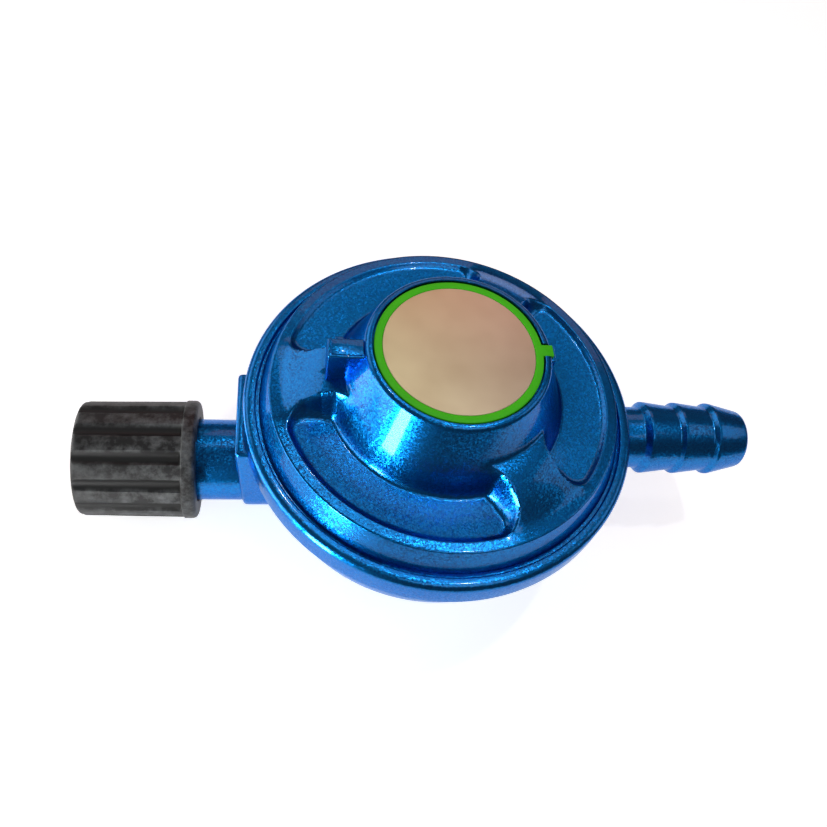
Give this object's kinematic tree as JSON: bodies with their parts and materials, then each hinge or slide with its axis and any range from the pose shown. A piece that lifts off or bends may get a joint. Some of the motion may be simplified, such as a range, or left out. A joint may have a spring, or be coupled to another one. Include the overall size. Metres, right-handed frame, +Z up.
{
  "type": "gas pressure regulator",
  "caption": "Low-pressure gas regulator with a fluted bottle nut, a round diaphragm housing with a capped spring tower, and a barbed hose nozzle",
  "frame": {"origin": "on the upright axis of the diaphragm housing, on the face that the regulator stands on", "axes": "+X along the hose nozzle, away from the housing; -X along the inlet, towards the bottle; +Z up, along the spring tower; +Y completes the right-handed frame"},
  "size_m": [0.1236, 0.068, 0.0494],
  "materials": {
    "blue_paint": "glossy metallic blue paint on a zinc casting",
    "green_plastic": "semi-gloss moulded green plastic",
    "champagne_foil": "satin champagne foil, left bare",
    "grey_plastic": "plain moulded plastic",
    "black_plastic": "scuffed satin black plastic",
    "zinc_plated_steel": "zinc-plated sheet and bar",
    "spring_steel": "drawn steel wire",
    "brass": "turned brass",
    "sintered_bronze": "sintered bronze grains",
    "rubber": "black moulded rubber"
  },
  "bodies": {
    "housing": {"lower_body": "blue_paint", "hose_tail": "blue_paint", "cover": "blue_paint", "closing_cap": "green_plastic", "rating_plate": "champagne_foil", "main_spring": "spring_steel", "diaphragm": "rubber", "lever_pin": "spring_steel", "lever_bracket": "zinc_plated_steel", "bracket_screws": "zinc_plated_steel", "orifice_jet": "brass", "flow_seat": "brass", "flow_spring": "spring_steel", "flow_retainer": "brass", "inlet_nipple": "brass", "inlet_filter": "sintered_bronze", "inlet_seal": "rubber"},
    "upper_seat": {"spring_seat": "zinc_plated_steel"},
    "screw": {"adjusting_screw": "grey_plastic"},
    "diaphragm_stack": {"spring_plate": "zinc_plated_steel", "backing_washer": "zinc_plated_steel", "diaphragm_post": "brass", "post_nut": "zinc_plated_steel"},
    "valve_lever": {"lever": "zinc_plated_steel"},
    "plunger": {"valve_plunger": "brass", "valve_pad": "rubber"},
    "poppet": {"flow_poppet": "brass"},
    "coupling_nut": {"nut_insert": "brass", "handwheel": "black_plastic"}
  },
  "joints": [
    {"name": "diaphragm_lift", "type": "slide", "parent": "housing", "child": "diaphragm_stack", "axis": [0, 0, 1], "range_m": [0, 0.003], "stiffness_N_per_m": 800, "springref_m": -0.0075, "deforming": ["main_spring", "diaphragm"]},
    {"name": "lever_pivot", "type": "hinge", "parent": "housing", "child": "valve_lever", "pos_m": [0.014, 0, 0.0187], "axis": [0, 1, 0], "range_deg": [0, 12.3]},
    {"name": "valve_slide", "type": "slide", "parent": "housing", "child": "plunger", "axis": [-1, 0, 0], "range_m": [0, 0.0015]},
    {"name": "flow_check", "type": "slide", "parent": "housing", "child": "poppet", "axis": [1, 0, 0], "range_m": [0, 0.0018], "stiffness_N_per_m": 150, "springref_m": -0.0015, "deforming": ["flow_spring"]},
    {"name": "screw_feed", "type": "slide", "parent": "housing", "child": "upper_seat", "axis": [0, 0, -1], "range_m": [0, 0.0014]},
    {"name": "screw_turn", "type": "hinge", "parent": "upper_seat", "child": "screw", "pos_m": [0, 0, 0.0455], "axis": [0, 0, -1], "range_deg": [0, 720]},
    {"name": "nut_turn", "type": "hinge", "parent": "housing", "child": "coupling_nut", "pos_m": [-0.0527, 0, 0.0117], "axis": [-1, 0, 0], "continuous": true}
  ],
  "couplings": [
    {"joint": "lever_pivot", "follows": "diaphragm_lift", "rad_per_m": 71.429},
    {"joint": "valve_slide", "follows": "diaphragm_lift", "ratio": 0.5},
    {"joint": "screw_feed", "follows": "screw_turn", "m_per_rad": 0.00011141}
  ]
}
